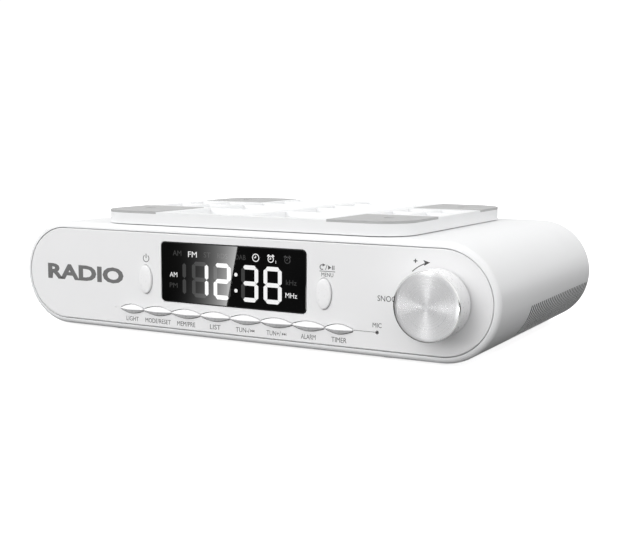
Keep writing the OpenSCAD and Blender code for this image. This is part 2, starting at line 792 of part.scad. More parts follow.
// Black insert behind a grille: a curved plate with ribs that fill the slots nearly
// flush, and a narrow slit through each rib
module grille_insert(s) side(s) translate([end_x, 0, 0])
    difference() {
        union() {
            slab(slot_y0 - 3, slot_y0 + slot_count * slot_pitch - 2)
                insert_section(insert_r, in_r - insert_fit, -2);
            for (i = [0:slot_count - 1]) let (y = slot_y0 + i * slot_pitch)
                slab(y - slot_w / 2 + insert_fit, y + slot_w / 2 - insert_fit)
                    insert_section(insert_r, body_h / 2 - insert_recess, insert_fit);
        }
        for (i = [0:slot_count - 1]) let (y = slot_y0 + i * slot_pitch)
            slab(y - slit_w / 2, y + slit_w / 2)
                insert_section(insert_r - 1, body_h / 2 + 1, 1);
    }
module speaker_basket_left() speaker_basket(-1);
module speaker_basket_right() speaker_basket(1);
module speaker_cone_left() speaker_cone(-1);
module speaker_cone_right() speaker_cone(1);
module speaker_magnet_left() speaker_magnet(-1);
module speaker_magnet_right() speaker_magnet(1);
module speaker_baffle_left() speaker_baffle(-1);
module speaker_baffle_right() speaker_baffle(1);
module grille_inserts() color(black) at_panel()
    for (s = [-1, 1]) grille_insert(s);

// ---- Rear sockets and screws ----

module aux_jack() color(black) at_panel() difference() {
    union() {
        translate([aux_x - aux_case.x / 2, rear_y0 - aux_case.y, aux_z - aux_case.z / 2])
            cube(aux_case);
        bar_y(aux_nose_r, rear_y0 - eps, rear_y1 + aux_nose_l, aux_x, aux_z);
    }
    bar_y(aux_bore_r, rear_y1 + aux_nose_l - aux_depth, rear_y1 + 1, aux_x, aux_z);
}

// A round gland with a collar on each side of the rear panel
module gland(x, z, bore_r, body_r, collar, front, back) {
    difference() {
        union() {
            bar_y(body_r, front, back, x, z);
            bar_y(collar, rear_y1, rear_y1 + collar_t, x, z);
            bar_y(collar, rear_y0 - collar_t, rear_y0, x, z);
        }
        bar_y(bore_r, front - 1, back + 1, x, z);
    }
}
module cord_gland() color([0.85, 0.85, 0.85]) at_panel()
    gland(gland_x, gland_z, gland_bore_r, gland_r, gland_collar_r, rear_y0 - 5,
        body_d + rear_proud);
module antenna_gland() color([0.85, 0.85, 0.85]) at_panel()
    gland(wire_x, wire_z, wire_bore_r, wire_gland_r, wire_collar_r, rear_y0 - 3, rear_y1 + 3);

module case_screws() color(steel) at_panel() {
    for (p = bosses) {
        bar_y(screw_r, rear_y0 - case_screw_l, rear_y1 + eps, p.x, p.y);
        bar_y(screw_head_r, rear_y1, rear_y1 + screw_head_t, p.x, p.y);
    }
    for (p = pillars) translate([p.x, p.y, floor_z + 0.1]) {
        cylinder(r1 = screw_head_r, r2 = screw_r, h = sunk_t);
        translate([0, 0, sunk_t - eps]) cylinder(r = screw_r, h = cover_screw_l);
    }
}

module board_screws() color(steel) at_panel() {
    for (b = [[main_at, main_size], [power_at, power_size]])
        for (x = [standoff_in, b[1].x - standoff_in], y = [standoff_in, b[1].y - standoff_in])
            translate([b[0].x + x, b[0].y + y, main_z + board_t - board_screw_l]) {
                cylinder(r = 1.15, h = board_screw_l + eps);
                translate([0, 0, board_screw_l]) cylinder(r = 2.4, h = screw_head_t);
            }
    for (p = posts) {
        bar_y(1.05, board_y - 5, board_y + board_t + eps, p.x, p.y);
        bar_y(2.2, board_y + board_t, board_y + board_t + 1.4, p.x, p.y);
    }
}

// ---- Mounting plate ----

// Pockets between the ribs of the plate's top: three columns of rows
module plate_pockets() {
    rows = [[-71, -34], [-30, 2], [6, 24], [28, 50], [54, 71]];
    for (x = [-46, 4], r = rows) translate([x, r[0]]) square([42, r[1] - r[0]]);
    for (x = [-89, -69, 54, 74], r = [[-23, -2], [2, 21]])
        translate([x, r[0]]) square([15, r[1] - r[0]]);
}

module pad_corners() {
    for (x = [-1, 1], y = [-1, 1])
        intersection() {
            rounded(plate_w, plate_l, plate_r);
            translate([x * (plate_w - pad_size.x) / 2, y * (plate_l - pad_size.y) / 2])
                square(pad_size, center = true);
        }
}

module plate_holes(r) {
    for (x = [-1, 1], y = [-1, 1])
        translate([x * hole_x / 2, y * hole_y / 2]) circle(r);
}

module mount_plate() color(white) at_panel() {
    translate([0, plate_y, plate_z]) difference() {
        linear_extrude(plate_t) rounded(plate_w, plate_l, plate_r);
        translate([0, 0, plate_t - pocket_t]) linear_extrude(pocket_t + 1) plate_pockets();
        translate([0, 0, plate_t - pad_recess]) linear_extrude(pad_recess + 1) pad_corners();
        translate([0, 0, -1]) linear_extrude(plate_t + 2) plate_holes(hole_d / 2);
        translate([0, 0, -1]) linear_extrude(counterbore_t + 1) plate_holes(counterbore_r);
    }
    for (p = hook_at) translate([p.x, p.y, 0]) {
        neck_z = in_r - clear;
        translate([0, 0, neck_z - eps]) cylinder(r = hook_r, h = plate_z - neck_z + 2 * eps);
        translate([0, 0, neck_z - 1.8]) cylinder(r = hook_head_r, h = 1.8);
    }
}

module mount_pads() color(pad_grey) at_panel()
    translate([0, plate_y, plate_z + plate_t - pad_recess]) linear_extrude(pad_t)
        difference() {
            pad_corners();
            plate_holes(pad_hole_r);
        }

// ---- Nodes ----

housing();
screw_pillars();
front_panel();
rear_panel();
bottom_cover();
battery_door();
display_window();
lcd_glass();
lcd_backlight();
control_board();
tact_switches();
encoder_body();
encoder_plunger();
encoder_shaft();
knob_body();
knob_cap();
power_button();
select_button();
key_light();
key_mode();
key_preset();
key_list();
key_tune_down();
key_tune_up();
key_alarm();
key_timer();
mic_capsule();
main_board();
board_chips();
board_capacitors();
tuner_can();
power_board();
transformer();
ribbon_cable();
mains_terminal();
speaker_leads();
ferrite_rod();
antenna_coil();
ferrite_clips();
light_board();
light_lens();
speaker_basket_left();
speaker_basket_right();
speaker_cone_left();
speaker_cone_right();
speaker_magnet_left();
speaker_magnet_right();
speaker_baffle_left();
speaker_baffle_right();
grille_inserts();
feet();
backup_cells();
battery_contacts();
aux_jack();
cord_gland();
antenna_gland();
case_screws();
board_screws();
mount_plate();
mount_pads();
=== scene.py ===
"""Looks of the kitchen clock radio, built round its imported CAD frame.

Lengths in this file are millimetres in the front panel's own frame: x from the middle of the
width, y to the rear from the panel's plane, z up from the middle of the housing's height.
place() turns them into the metres of the shared frame.
"""

import json
import math

import bmesh
import bpy
from mathutils import Matrix, Vector


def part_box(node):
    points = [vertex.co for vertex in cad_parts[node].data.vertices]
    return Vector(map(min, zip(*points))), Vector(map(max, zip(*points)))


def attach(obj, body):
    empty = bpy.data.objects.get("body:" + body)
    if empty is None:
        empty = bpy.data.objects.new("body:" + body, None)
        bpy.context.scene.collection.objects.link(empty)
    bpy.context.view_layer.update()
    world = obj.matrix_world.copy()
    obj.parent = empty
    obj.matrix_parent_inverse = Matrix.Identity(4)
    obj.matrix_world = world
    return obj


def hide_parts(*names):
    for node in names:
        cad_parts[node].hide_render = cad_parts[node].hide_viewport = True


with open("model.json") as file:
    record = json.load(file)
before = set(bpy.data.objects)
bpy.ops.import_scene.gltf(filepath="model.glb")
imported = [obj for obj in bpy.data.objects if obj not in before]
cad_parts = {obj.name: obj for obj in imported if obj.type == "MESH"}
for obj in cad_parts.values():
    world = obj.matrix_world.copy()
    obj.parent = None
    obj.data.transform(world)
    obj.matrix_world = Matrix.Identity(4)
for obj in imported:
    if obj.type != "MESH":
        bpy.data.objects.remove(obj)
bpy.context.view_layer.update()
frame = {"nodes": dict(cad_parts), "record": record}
nodes = frame["nodes"]
record = frame["record"]

MM = 0.001


# ---- The panel's frame ----

panel_low, panel_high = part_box("front_panel")
ORIGIN = Vector((0, panel_low.y, (panel_low.z + panel_high.z) / 2))


def place(x, y, z):
    """A point of the panel's frame, in metres in the shared frame."""
    return ORIGIN + Vector((x, y, z)) * MM


def local_box(node):
    """A CAD node's lowest and highest corners in the panel's frame."""
    low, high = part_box(node)
    return (low - ORIGIN) / MM, (high - ORIGIN) / MM


def middle(node):
    """The middle of a CAD node's box in the panel's frame."""
    low, high = local_box(node)
    return (low + high) / 2


def body_of(node):
    """The body that a CAD node rides on."""
    for body, members in record["behaviour"]["bodies"].items():
        if node in members:
            return body
    return "root"


# ---- Camera ----

CAMERA_AT = (0.300124, -0.539871, 0.106339)
CAMERA_YAW = math.radians(28.804)
CAMERA_PITCH = math.radians(7.445)
CAMERA_ROLL = math.radians(0.230)
SENSOR_WIDTH = 36
LENS = 61.95


def make_camera():
    data = bpy.data.cameras.new("camera")
    data.sensor_width = SENSOR_WIDTH
    data.sensor_fit = "HORIZONTAL"
    data.lens = LENS
    camera = bpy.data.objects.new("camera", data)
    bpy.context.scene.collection.objects.link(camera)
    turn = Matrix.Rotation(CAMERA_YAW, 4, "Z") @ Matrix.Rotation(math.pi / 2 - CAMERA_PITCH, 4, "X")
    roll = Matrix.Rotation(CAMERA_ROLL, 4, "Z")
    camera.matrix_world = Matrix.Translation(CAMERA_AT) @ turn @ roll
    bpy.context.scene.camera = camera


make_camera()


# ---- Material building blocks ----

def map_range(tree, value, from_low, from_high, low, high):
    """A node that maps a value's span to another one, and stops at its ends."""
    made = tree.nodes.new("ShaderNodeMapRange")
    made.inputs["From Min"].default_value = from_low
    made.inputs["From Max"].default_value = from_high
    made.inputs["To Min"].default_value = low
    made.inputs["To Max"].default_value = high
    tree.links.new(value, made.inputs["Value"])
    return made


class Look:
    """A material with its node tree, and short calls that add nodes to it."""

    def __init__(self, name):
        self.material = bpy.data.materials.new(name)
        self.material.use_nodes = True
        self.tree = self.material.node_tree
        self.shader = self.tree.nodes["Principled BSDF"]
        self.bumps = None

    def set(self, **sockets):
        for socket, value in sockets.items():
            self.shader.inputs[socket.replace("_", " ")].default_value = value
        return self

    def node(self, kind, **values):
        made = self.tree.nodes.new(kind)
        for key, value in values.items():
            setattr(made, key, value)
        return made

    def link(self, output, target):
        self.tree.links.new(output, target)

    def coordinates(self, stretch=(1, 1, 1)):
        """Object coordinates in millimetres, stretched along each axis."""
        source = self.node("ShaderNodeTexCoord")
        scaled = self.node("ShaderNodeMapping")
        scaled.inputs["Scale"].default_value = [s / MM for s in stretch]
        self.link(source.outputs["Object"], scaled.inputs["Vector"])
        return scaled.outputs["Vector"]

    def noise(self, per_mm, detail=2.0, stretch=(1, 1, 1), vector=None):
        made = self.node("ShaderNodeTexNoise")
        made.inputs["Scale"].default_value = per_mm
        made.inputs["Detail"].default_value = detail
        self.link(vector or self.coordinates(stretch), made.inputs["Vector"])
        return made.outputs["Fac"]

    def between(self, factor, low, high, from_low=0.3, from_high=0.7):
        """The factor's usual span mapped to low..high."""
        made = map_range(self.tree, factor, from_low, from_high, low, high)
        return made.outputs["Result"]

    def rough(self, factor, low, high):
        self.link(self.between(factor, low, high), self.shader.inputs["Roughness"])

    def colour(self, factor, low, high):
        mix = self.node("ShaderNodeMix", data_type="RGBA")
        mix.inputs["A"].default_value = (*low, 1)
        mix.inputs["B"].default_value = (*high, 1)
        self.link(self.between(factor, 0, 1), mix.inputs["Factor"])
        self.link(mix.outputs["Result"], self.shader.inputs["Base Color"])

    def bump(self, height, depth_mm, strength=1.0):
        """Adds one more layer of relief; depth is the height of a full step."""
        made = self.node("ShaderNodeBump")
        made.inputs["Strength"].default_value = strength
        made.inputs["Distance"].default_value = depth_mm * MM
        self.link(height, made.inputs["Height"])
        if self.bumps:
            self.link(self.bumps, made.inputs["Normal"])
        self.bumps = made.outputs["Normal"]
        self.link(self.bumps, self.shader.inputs["Normal"])


def grey(value):
    return (value, value, value)


def moulded_plastic(name, tint, low_rough, high_rough, grain_depth, grain_per_mm=2.6):
    """Moulded plastic: a spark-eroded grain, with slow drifts in colour and gloss."""
    look = Look(name)
    look.set(Specular_IOR_Level=0.5)
    drift = look.noise(0.03, 3)
    look.colour(drift, [c * 0.985 for c in tint], tint)
    look.rough(look.noise(0.6, 4), low_rough, high_rough)
    look.bump(look.noise(grain_per_mm, 3), grain_depth)
    return look


def housing_white():
    return moulded_plastic("housing_white", (0.86, 0.865, 0.87), 0.36, 0.44, 0.012)


def panel_white():
    return moulded_plastic("panel_white", (0.84, 0.84, 0.845), 0.3, 0.36, 0.006)


def key_white():
    return moulded_plastic("key_white", (0.88, 0.88, 0.885), 0.26, 0.32, 0.003)


def window_gloss(name, drift_per_mm):
    """Glossy tinted plastic, with faint wipe marks in the gloss."""
    look = Look(name)
    look.set(Specular_IOR_Level=0.5, Coat_Weight=0.3, Coat_Roughness=0.01)
    look.colour(look.noise(drift_per_mm, 2), grey(0.003), grey(0.0045))
    look.rough(look.noise(0.15, 5, (1, 1, 0.4)), 0.008, 0.016)
    return look


def window_black():
    look = window_gloss("window_black", 0.05)
    look.bump(look.noise(0.02, 1), 0.002)
    return look


def window_mark(name, glow):
    """A display segment behind the window: it keeps the window's gloss and gives light."""
    look = window_gloss(name, 0.4)
    look.set(Emission_Strength=1.0)
    tone = look.node("ShaderNodeMix", data_type="RGBA")
    tone.inputs["A"].default_value = (*grey(glow * 0.93), 1)
    tone.inputs["B"].default_value = (*grey(glow), 1)
    look.link(look.between(look.noise(0.8, 2), 0, 1), tone.inputs["Factor"])
    look.link(tone.outputs["Result"], look.shader.inputs["Emission Color"])
    return look


def print_grey(name, tone):
    """Pad-printed ink: slightly uneven in tone, matt and with a faint relief."""
    look = Look(name)
    look.set(Specular_IOR_Level=0.4)
    look.colour(look.noise(3, 3), grey(tone * 0.9), grey(tone * 1.08))
    look.rough(look.noise(4, 2), 0.42, 0.55)
    look.bump(look.noise(6, 2), 0.004)
    return look


def spun_aluminium():
    """A face turned on a lathe: rings in the gloss and the relief, stretched along the turning."""
    look = Look("spun_aluminium")
    look.set(Metallic=1.0, Anisotropic=0.85, Anisotropic_Rotation=0.25)
    split = look.node("ShaderNodeSeparateXYZ")
    look.link(look.coordinates(), split.inputs["Vector"])
    flat = look.node("ShaderNodeCombineXYZ")
    look.link(split.outputs["X"], flat.inputs["X"])
    look.link(split.outputs["Z"], flat.inputs["Y"])
    radius = look.node("ShaderNodeVectorMath", operation="LENGTH")
    look.link(flat.outputs["Vector"], radius.inputs[0])
    rings = {}
    for name, per_mm in (("coarse", 1.6), ("fine", 7.0)):
        made = look.node("ShaderNodeTexNoise", noise_dimensions="1D")
        made.inputs["Scale"].default_value = per_mm
        made.inputs["Detail"].default_value = 4
        look.link(radius.outputs["Value"], made.inputs["W"])
        rings[name] = made.outputs["Fac"]
    look.colour(rings["coarse"], (0.79, 0.79, 0.80), (0.85, 0.85, 0.86))
    look.rough(rings["fine"], 0.26, 0.38)
    look.bump(rings["fine"], 0.004)
    tangent = look.node("ShaderNodeTangent", direction_type="RADIAL", axis="Y")
    look.link(tangent.outputs["Tangent"], look.shader.inputs["Tangent"])
    return look


def bright_edge():
    """The diamond-cut chamfer of the knob's cap."""
    look = Look("bright_edge")
    look.set(Metallic=1.0)
    look.colour(look.noise(0.4, 2), grey(0.86), grey(0.9))
    look.rough(look.noise(2, 3), 0.08, 0.14)
    look.bump(look.noise(1.5, 2), 0.002)
    return look


def steel():
    look = Look("steel")
    look.set(Metallic=1.0)
    look.colour(look.noise(0.8, 3), (0.5, 0.51, 0.53), (0.62, 0.63, 0.65))
    look.rough(look.noise(2.5, 4, (1, 4, 1)), 0.28, 0.42)
    look.bump(look.noise(4, 3, (1, 5, 1)), 0.006)
    return look


def rubber(name, tone):
    look = Look(name)
    look.set(Specular_IOR_Level=0.35)
    look.colour(look.noise(0.15, 4), grey(tone * 0.94), grey(tone * 1.04))
    look.rough(look.noise(1.2, 4), 0.62, 0.78)
    look.bump(look.noise(3.5, 4), 0.03)
    return look


def frosted_lens():
    look = Look("frosted_lens")
    look.set(Transmission_Weight=0.55, IOR=1.49)
    look.colour(look.noise(0.2, 2), (0.86, 0.88, 0.9), (0.93, 0.94, 0.95))
    look.rough(look.noise(2, 4), 0.38, 0.5)
    look.bump(look.noise(4, 3), 0.02)
    return look


def board(name, dark, light):
    """Solder mask over copper tracks, which show as a faint relief."""
    look = Look(name)
    look.set(Specular_IOR_Level=0.5)
    cells = look.node("ShaderNodeTexVoronoi", feature="DISTANCE_TO_EDGE", distance="MANHATTAN")
    cells.inputs["Scale"].default_value = 0.35
    look.link(look.coordinates(), cells.inputs["Vector"])
    tracks = look.between(cells.outputs["Distance"], 0, 1, 0.04, 0.1)
    look.colour(tracks, light, dark)
    look.rough(look.noise(1, 3), 0.25, 0.4)
    look.bump(tracks, 0.03)
    return look


def winding(name, dark, light, turns_per_mm):
    """Wire or cloth wound in turns along X."""
    look = Look(name)
    look.set(Metallic=0.4)
    wave = look.node("ShaderNodeTexWave", bands_direction="X")
    wave.inputs["Scale"].default_value = turns_per_mm / 2
    look.link(look.coordinates(), wave.inputs["Vector"])
    look.colour(wave.outputs["Fac"], dark, light)
    look.rough(look.noise(3, 2), 0.3, 0.45)
    look.bump(wave.outputs["Fac"], 0.1)
    return look


def plain(name, dark, light, low_rough, high_rough, grain_depth=0.02):
    """An inner part: uneven tone, gloss and a fine grain."""
    look = Look(name)
    look.colour(look.noise(0.8, 4), dark, light)
    look.rough(look.noise(1.5, 4), low_rough, high_rough)
    look.bump(look.noise(2.5, 4), grain_depth)
    return look


def insert_black_and_painted_shade():
    """Matt black ribs in the grille slots, which hardly shine. Their near-black colour is partly the
    ribs' own black and partly painted shade: it is darker than the other black plastic, to stand for
    the shade deep in the slots.
    """
    look = plain("insert_black_and_painted_shade", grey(0.003), grey(0.006), 0.85, 0.95)
    return look.set(Specular_IOR_Level=0.1)


LOOKS = {
    "housing_white": housing_white(),
    "panel_white": panel_white(),
    "window_black": window_black(),
    "lcd_grey": plain("lcd_grey", grey(0.05), grey(0.08), 0.2, 0.3, 0.003),
    "diffuser_white": plain("diffuser_white", grey(0.75), grey(0.82), 0.5, 0.6),
    "frosted_lens": frosted_lens(),
    "spun_aluminium": spun_aluminium(),
    "steel": steel(),
    "black_plastic": plain("black_plastic", grey(0.012), grey(0.02), 0.35, 0.5),
    "cone_paper": plain("cone_paper", grey(0.015), grey(0.035), 0.8, 0.95, 0.08),
    "circuit_board": board("circuit_board", (0.015, 0.12, 0.05), (0.05, 0.24, 0.1)),
    "power_circuit_board": board("power_circuit_board", (0.28, 0.2, 0.06), (0.42, 0.32, 0.12)),
    "transformer_core": winding("transformer_core", (0.05, 0.045, 0.04), (0.16, 0.15, 0.14), 2),
    "ferrite": plain("ferrite", grey(0.03), grey(0.06), 0.5, 0.65),
    "copper_winding": winding("copper_winding", (0.3, 0.1, 0.04), (0.75, 0.32, 0.14), 2.5),
    "cable_grey": plain("cable_grey", grey(0.4), grey(0.5), 0.4, 0.55),
    "lead_red": plain("lead_red", (0.35, 0.02, 0.02), (0.5, 0.04, 0.03), 0.35, 0.5),
    "terminal_green": plain("terminal_green", (0.03, 0.16, 0.07), (0.05, 0.22, 0.1), 0.4, 0.5),
    "capacitor_sleeve": plain("capacitor_sleeve", (0.02, 0.03, 0.08), (0.04, 0.05, 0.12),
                              0.2, 0.3, 0.004),
    "board_white": plain("board_white", grey(0.7), grey(0.78), 0.3, 0.4),
    "cell_wrap": plain("cell_wrap", (0.03, 0.14, 0.08), (0.05, 0.2, 0.11), 0.22, 0.3, 0.004),
    "pad_rubber": rubber("pad_rubber", 0.46),
    "gland_plastic": moulded_plastic("gland_plastic", grey(0.66), 0.4, 0.5, 0.01),
}
# The grille's inserts take the near-black look, whose colour is partly painted shade for the slots
NODE_LOOKS = {"grille_inserts": insert_black_and_painted_shade()}
KEY_WHITE = key_white()
BRIGHT_EDGE = bright_edge()
LABEL_GREY = print_grey("label_grey", 0.09)
WORDMARK_GREY = print_grey("wordmark_grey", 0.16)
LIT = window_mark("display_lit", 0.95)
GHOST = window_mark("display_ghost", 0.05)


SMOOTH_UP_TO = math.radians(28)
WELD = 0.001 * MM


def smooth_modifier():
    """Node group that welds a CAD mesh's split corners and shades its curves smooth."""
    group = bpy.data.node_groups.new("smooth_curves", "GeometryNodeTree")
    group.interface.new_socket("Geometry", in_out="INPUT", socket_type="NodeSocketGeometry")
    group.interface.new_socket("Geometry", in_out="OUTPUT", socket_type="NodeSocketGeometry")
    nodes_ = group.nodes
    source, target = nodes_.new("NodeGroupInput"), nodes_.new("NodeGroupOutput")
    weld = nodes_.new("GeometryNodeMergeByDistance")
    weld.inputs["Distance"].default_value = WELD
    angle = nodes_.new("GeometryNodeInputMeshEdgeAngle")
    limit = nodes_.new("FunctionNodeCompare")
    limit.operation = "LESS_EQUAL"
    limit.inputs["B"].default_value = SMOOTH_UP_TO
    faces = nodes_.new("GeometryNodeSetShadeSmooth")
    edges = nodes_.new("GeometryNodeSetShadeSmooth")
    edges.domain = "EDGE"
    link = group.links.new
    link(source.outputs[0], weld.inputs["Geometry"])
    link(weld.outputs["Geometry"], faces.inputs["Geometry"])
    link(faces.outputs["Geometry"], edges.inputs["Geometry"])
    link(angle.outputs["Unsigned Angle"], limit.inputs["A"])
    link(limit.outputs["Result"], edges.inputs["Shade Smooth"])
    link(edges.outputs["Geometry"], target.inputs[0])
    return group


def keep_flats_flat(thing):
    """Weights the corner normals by face area, so that a bevel doesn't bend the flat beside it."""
    thing.modifiers.new("flat_faces", "WEIGHTED_NORMAL").keep_sharp = True


SMOOTH = smooth_modifier()
for part in record["subparts"]:
    cad = nodes[part["node"]]
    look = NODE_LOOKS.get(part["node"], LOOKS[part["material_slot"]])
    cad.material_slots[0].material = look.material
    cad.modifiers.new("smooth_curves", "NODES").node_group = SMOOTH
    keep_flats_flat(cad)


# ---- Mesh building blocks ----

SHARP = math.radians(35)
SAME_POINT = 1e-4


def finish_mesh(name, mesh, looks, body, origin=(0, 0, 0), replaces=()):
    """Turns a mesh drawn in millimetres about origin into a piece that rides on a body."""
    work = bmesh.new()
    work.from_mesh(mesh)
    bmesh.ops.remove_doubles(work, verts=work.verts, dist=SAME_POINT)
    bmesh.ops.recalc_face_normals(work, faces=work.faces)
    work.to_mesh(mesh)
    work.free()
    mesh.transform(Matrix.Scale(MM, 4))
    mesh.polygons.foreach_set("use_smooth", [True] * len(mesh.polygons))
    mesh.set_sharp_from_angle(angle=SHARP)
    for look in looks:
        mesh.materials.append(look.material)
    piece = bpy.data.objects.new(name, mesh)
    piece.location = place(*origin)
    bpy.context.scene.collection.objects.link(piece)
    keep_flats_flat(piece)
    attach(piece, body)
    if replaces:
        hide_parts(*replaces)
    return piece


def mesh_from(name, points, faces, finishes=None):
    mesh = bpy.data.meshes.new(name)
    mesh.from_pydata(points, [], faces)
    if finishes:
        mesh.polygons.foreach_set("material_index", finishes)
    return mesh


def rings_mesh(name, rings):
    """A skin over rings that have the same number of points, with both ends closed."""
    count = len(rings[0])
    points = [p for ring in rings for p in ring]
    faces = []
    for i in range(len(rings) - 1):
        for j in range(count):
            k = (j + 1) % count
            faces.append((i * count + j, i * count + k, (i + 1) * count + k, (i + 1) * count + j))
    last = (len(rings) - 1) * count
    faces.append(tuple(range(count)))
    faces.append(tuple(last + j for j in range(count)))
    return mesh_from(name, points, faces)


def lathe(name, profile, sides, edge_from=None):
    """Turns a profile of (radius, y) about Y. The profile starts and ends on the axis.
    Rows of the profile from index edge_from[0] to edge_from[1] take the second finish."""
    points, faces, finishes = [], [], []
    rows = []
    for radius, y in profile:
        if radius < SAME_POINT:
            rows.append([len(points)] * sides)
            points.append((0, y, 0))
        else:
            rows.append([len(points) + j for j in range(sides)])
            for j in range(sides):
                turn = 2 * math.pi * j / sides
                points.append((radius * math.cos(turn), y, radius * math.sin(turn)))
    for i in range(len(rows) - 1):
        second = edge_from is not None and edge_from[0] <= i < edge_from[1]
        for j in range(sides):
            k = (j + 1) % sides
            corners = (rows[i][j], rows[i][k], rows[i + 1][k], rows[i + 1][j])
            unique = tuple(dict.fromkeys(corners))
            if len(unique) > 2:
                faces.append(unique)
                finishes.append(1 if second else 0)
    return mesh_from(name, points, faces, finishes)


def arc(centre, radius, start, end, steps):
    """Points of a circular arc, angles in degrees."""
    made = []
    for i in range(steps + 1):
        a = math.radians(start + (end - start) * i / steps)
        made.append((centre[0] + radius * math.cos(a), centre[1] + radius * math.sin(a)))
    return made


def rounded_rectangle(width, height, radius, steps=10):
    """Outline of a rectangle with round corners, centred on the origin."""
    outline = []
    for sx, sy, start in ((1, 1, 0), (-1, 1, 90), (-1, -1, 180), (1, -1, 270)):
        centre = (sx * (width / 2 - radius), sy * (height / 2 - radius))
        outline += arc(centre, radius, start, start + 90, steps)
    return outline


# ---- Keys and buttons ----

KEY_STEPS = 44
# How far behind the panel's plane a key's root lies
KEY_ROOT = 3.0
# Shares of a slope that the soft crest and the soft foot take up
KEY_CREST = 0.14
KEY_FOOT = 0.1
# The small step at each end of a key
KEY_END = 0.12
# How full a key still is at its tips, and how fast it narrows towards them
KEY_TIP = 0.22
KEY_TAPER = 1.7


def key_swell(t):
    """How full a key is along its length, t from -1 to 1."""
    return KEY_TIP + (1 - KEY_TIP) * (1 - abs(t) ** KEY_TAPER)


def blend_corner(before, corner, after, share, steps=4):
    """Replaces a corner of an outline by a soft bend that starts a share of the way along."""
    start = [c + (b - c) * share for b, c in zip(before, corner)]
    end = [c + (a - c) * share for a, c in zip(after, corner)]
    made = []
    for i in range(steps + 1):
        t = i / steps
        made.append([s * (1 - t) ** 2 + 2 * c * t * (1 - t) + e * t ** 2
                     for s, c, e in zip(start, corner, end)])
    return made


def key_section(half, crest, root):
    """Section of a key in (y, z): a slope up, a soft crest and a slope down."""
    low, top, high = (0.0, -half), (-crest, 0.0), (0.0, half)
    outline = [(root, -half)]
    outline += blend_corner((root, -half), low, top, KEY_FOOT, 2)
    outline += blend_corner(low, top, high, KEY_CREST, 6)
    outline += blend_corner(top, high, (root, half), KEY_FOOT, 2)
    outline.append((root, half))
    return outline


def make_key(node):
    low, high = local_box(node)
    centre = middle(node)
    reach = (high.x - low.x) / 2
    half = (high.z - low.z) / 2

    def ring(x, t, inset=0):
        full = key_swell(t)
        section = key_section(half * full - inset, -low.y * full - inset, KEY_ROOT)
        return [(x, y, z) for y, z in section]

    rings = [ring(-reach, -1, KEY_END), ring(KEY_END - reach, -1)]
    for i in range(1, KEY_STEPS):
        t = 2 * i / KEY_STEPS - 1
        rings.append(ring(t * reach, t))
    rings += [ring(reach - KEY_END, 1), ring(reach, 1, KEY_END)]
    finish_mesh(node + "_cap", rings_mesh(node + "_cap", rings), [KEY_WHITE], body_of(node),
                (centre.x, 0, centre.z), (node,))


KEYS = [n for n in nodes if n.startswith("key_")]
for key in KEYS:
    make_key(key)


OVAL_SIDES = 96
OVAL_ROOT = 3.4
# The dome sinks by this much from its middle to the start of its rounded edge
OVAL_SINK = 0.3
OVAL_EDGE_AT = 0.84
OVAL_EDGE_H = 0.75


def oval_profile(proud):
    """(share of the half width, y) from the middle of the dome to its root."""
    made = [(0, -proud)]
    for share in (0.3, 0.5, 0.66, 0.78, OVAL_EDGE_AT):
        made.append((share, -proud + OVAL_SINK * (share / OVAL_EDGE_AT) ** 3))
    for degrees in range(15, 91, 15):
        a = math.radians(degrees)
        made.append((OVAL_EDGE_AT + (1 - OVAL_EDGE_AT) * math.sin(a),
                     -proud + OVAL_SINK + OVAL_EDGE_H * (1 - math.cos(a))))
    made.append((1, OVAL_ROOT))
    return made


def make_oval(node):
    low, high = local_box(node)
    centre = middle(node)
    half_w, half_h = (high.x - low.x) / 2, (high.z - low.z) / 2
    rings = []
    for share, y in oval_profile(-low.y):
        ring = []
        inset = (1 - max(share, 1e-3)) * half_w
        for j in range(OVAL_SIDES):
            a = 2 * math.pi * j / OVAL_SIDES
            ring.append(((half_w - inset) * math.cos(a), y, (half_h - inset) * math.sin(a)))
        rings.append(ring)
    mesh = rings_mesh(node + "_dome", rings)
    finish_mesh(node + "_dome", mesh, [KEY_WHITE], body_of(node),
                (centre.x, 0, centre.z), (node,))


for button in ("power_button", "select_button"):
    make_oval(button)


# ---- Knob ----

KNOB_SIDES = 160
# The skirt: its rear face, its edge radii, its wall and the hub round the shaft
SKIRT_BACK = -1.2
SKIRT_FRONT_R, SKIRT_BACK_R = 0.35, 0.5
SKIRT_WALL, SKIRT_FLOOR = 1.8, 2
HUB_R, HUB_BACK = 5.5, -2.0
# The cap: a shallow dish inside a bright chamfer
CAP_CHAMFER, CAP_SLOPE = 0.75, 0.38
CAP_DISH, CAP_LIP = 0.12, 0.15
CAP_STEPS = (3, 6, 9, 12, 14.5)


def knob_skirt_profile(radius, front):
    inner, floor = radius - SKIRT_WALL, front + SKIRT_FLOOR
    profile = [(0, front), (radius - SKIRT_FRONT_R, front)]
    profile += arc((radius - SKIRT_FRONT_R, front + SKIRT_FRONT_R), SKIRT_FRONT_R, -90, 0, 4)
    profile += arc((radius - SKIRT_BACK_R, SKIRT_BACK - SKIRT_BACK_R), SKIRT_BACK_R, 0, 90, 5)
    profile += [(inner, SKIRT_BACK), (inner, floor), (HUB_R, floor), (HUB_R, HUB_BACK), (0, HUB_BACK)]
    return profile


def knob_cap_profile(radius, front, back):
    face_r = radius - CAP_CHAMFER
    profile = [(0, front + CAP_DISH)]
    profile += [(r, front + CAP_DISH * (1 - (r / face_r) ** 2)) for r in CAP_STEPS]
    profile += [(face_r, front), (radius, front + CAP_SLOPE), (radius, back - CAP_LIP)]
    profile += [(radius - CAP_LIP, back), (0, back)]
    return profile


